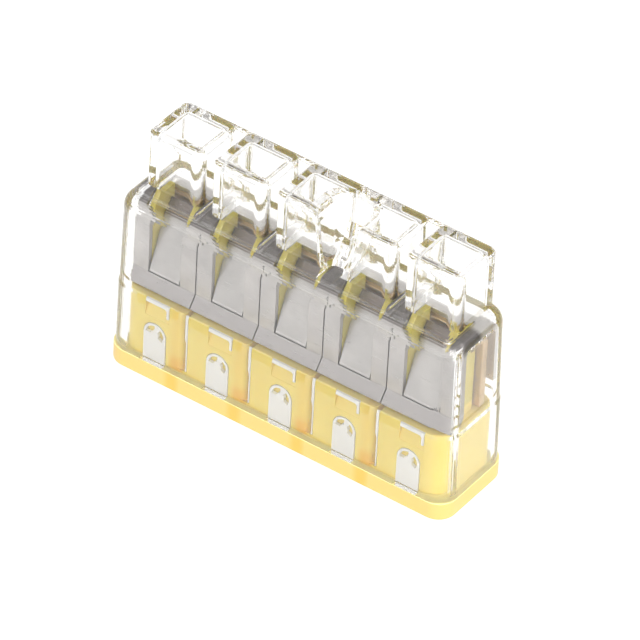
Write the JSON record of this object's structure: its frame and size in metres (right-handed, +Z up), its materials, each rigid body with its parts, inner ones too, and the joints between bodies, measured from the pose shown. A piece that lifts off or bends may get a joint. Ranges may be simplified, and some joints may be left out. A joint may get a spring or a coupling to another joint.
{
  "type": "push-in wire connector",
  "caption": "Compact push-in splicing connector: clear housing over a yellow entry cover, with a sprung steel clamp cage and a busbar that joins the wires.",
  "frame": {"origin": "middle of the underside, the wire-entry face", "axes": "+X along the row of poles, +Y through the thickness from the front to the back, +Z up, the way a wire goes in"},
  "size_m": [0.0206, 0.0054, 0.0138],
  "materials": {
    "clear_plastic": "clear, glossy moulded polycarbonate",
    "yellow_plastic": "semi-gloss moulded, warm yellow",
    "spring_steel": "rolled spring steel, satin",
    "tinned_copper": "tinned copper, satin"
  },
  "bodies": {
    "root": {"clear_housing": "clear_plastic", "entry_cover": "yellow_plastic", "busbar": "tinned_copper", "clamp_cage": "spring_steel"},
    "tongue_1": {"clamp_tongue_1": "spring_steel"},
    "tongue_2": {"clamp_tongue_2": "spring_steel"},
    "tongue_3": {"clamp_tongue_3": "spring_steel"},
    "tongue_4": {"clamp_tongue_4": "spring_steel"},
    "tongue_5": {"clamp_tongue_5": "spring_steel"}
  },
  "joints": [
    {"name": "tongue_1_hinge", "type": "hinge", "parent": "root", "child": "tongue_1", "pos_m": [-0.00766, -0.00112, 0.00562], "axis": [1, 0, 0], "range_deg": [0, 22], "stiffness_Nm_per_rad": 0.1, "springref_deg": -5.73},
    {"name": "tongue_2_hinge", "type": "hinge", "parent": "root", "child": "tongue_2", "pos_m": [-0.00383, -0.00112, 0.00562], "axis": [1, 0, 0], "range_deg": [0, 22], "stiffness_Nm_per_rad": 0.1, "springref_deg": -5.73},
    {"name": "tongue_3_hinge", "type": "hinge", "parent": "root", "child": "tongue_3", "pos_m": [0, -0.00112, 0.00562], "axis": [1, 0, 0], "range_deg": [0, 22], "stiffness_Nm_per_rad": 0.1, "springref_deg": -5.73},
    {"name": "tongue_4_hinge", "type": "hinge", "parent": "root", "child": "tongue_4", "pos_m": [0.00383, -0.00112, 0.00562], "axis": [1, 0, 0], "range_deg": [0, 22], "stiffness_Nm_per_rad": 0.1, "springref_deg": -5.73},
    {"name": "tongue_5_hinge", "type": "hinge", "parent": "root", "child": "tongue_5", "pos_m": [0.00766, -0.00112, 0.00562], "axis": [1, 0, 0], "range_deg": [0, 22], "stiffness_Nm_per_rad": 0.1, "springref_deg": -5.73}
  ]
}
